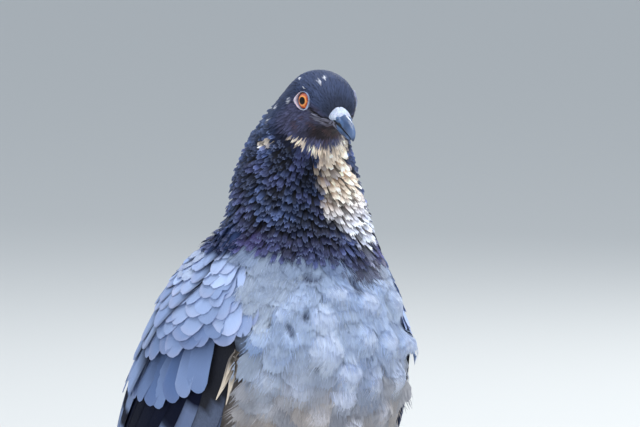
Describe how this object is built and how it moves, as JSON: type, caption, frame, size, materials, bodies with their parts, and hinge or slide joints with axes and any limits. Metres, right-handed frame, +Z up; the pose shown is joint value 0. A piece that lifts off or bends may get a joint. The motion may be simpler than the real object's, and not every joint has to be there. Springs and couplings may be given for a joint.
{
  "type": "pigeon",
  "caption": "Standing pigeon with folded wings and a fluffed neck and breast, feet flat on the ground; a still, life-size figure in closed solids.",
  "frame": {"origin": "on the ground, under the middle of the whole bird's box from above", "axes": "+Z up; the bird faces -Y, and its own left side is +X"},
  "size_m": [0.1048, 0.2448, 0.2704],
  "materials": {
    "feathers_head": "soft, dark slate blue",
    "feathers_neck": "dark navy with a violet gloss and a cream streak down the left front",
    "feathers_body": "soft, pale blue-grey, beige lower down",
    "feathers_wing": "smooth, blue-grey with pale edges",
    "feathers_flight": "smooth, slate grey crossed by black bars",
    "feathers_tail": "smooth, slate grey with a black end band",
    "eye": "wet, orange-red round a black pupil",
    "bill": "satin, blue-grey, paler at the tip",
    "cere": "dull, chalky white",
    "scaly_skin": "dull, coral red with small scales",
    "claw": "satin, nearly black"
  },
  "bodies": {
    "root": {"head": "feathers_head", "neck": "feathers_neck", "trunk": "feathers_body", "eye_left": "eye", "eye_right": "eye", "bill_upper": "bill", "bill_lower": "bill", "cere": "cere", "wing_left": "feathers_wing", "wing_right": "feathers_wing", "wingtip_left": "feathers_flight", "wingtip_right": "feathers_flight", "tail": "feathers_tail", "thigh_left": "feathers_body", "thigh_right": "feathers_body", "shank_left": "scaly_skin", "shank_right": "scaly_skin", "toe_inner_left": "scaly_skin", "claw_inner_left": "claw", "toe_inner_right": "scaly_skin", "claw_inner_right": "claw", "toe_middle_left": "scaly_skin", "claw_middle_left": "claw", "toe_middle_right": "scaly_skin", "claw_middle_right": "claw", "toe_outer_left": "scaly_skin", "claw_outer_left": "claw", "toe_outer_right": "scaly_skin", "claw_outer_right": "claw", "toe_hind_left": "scaly_skin", "claw_hind_left": "claw", "toe_hind_right": "scaly_skin", "claw_hind_right": "claw"}
  },
  "joints": []
}
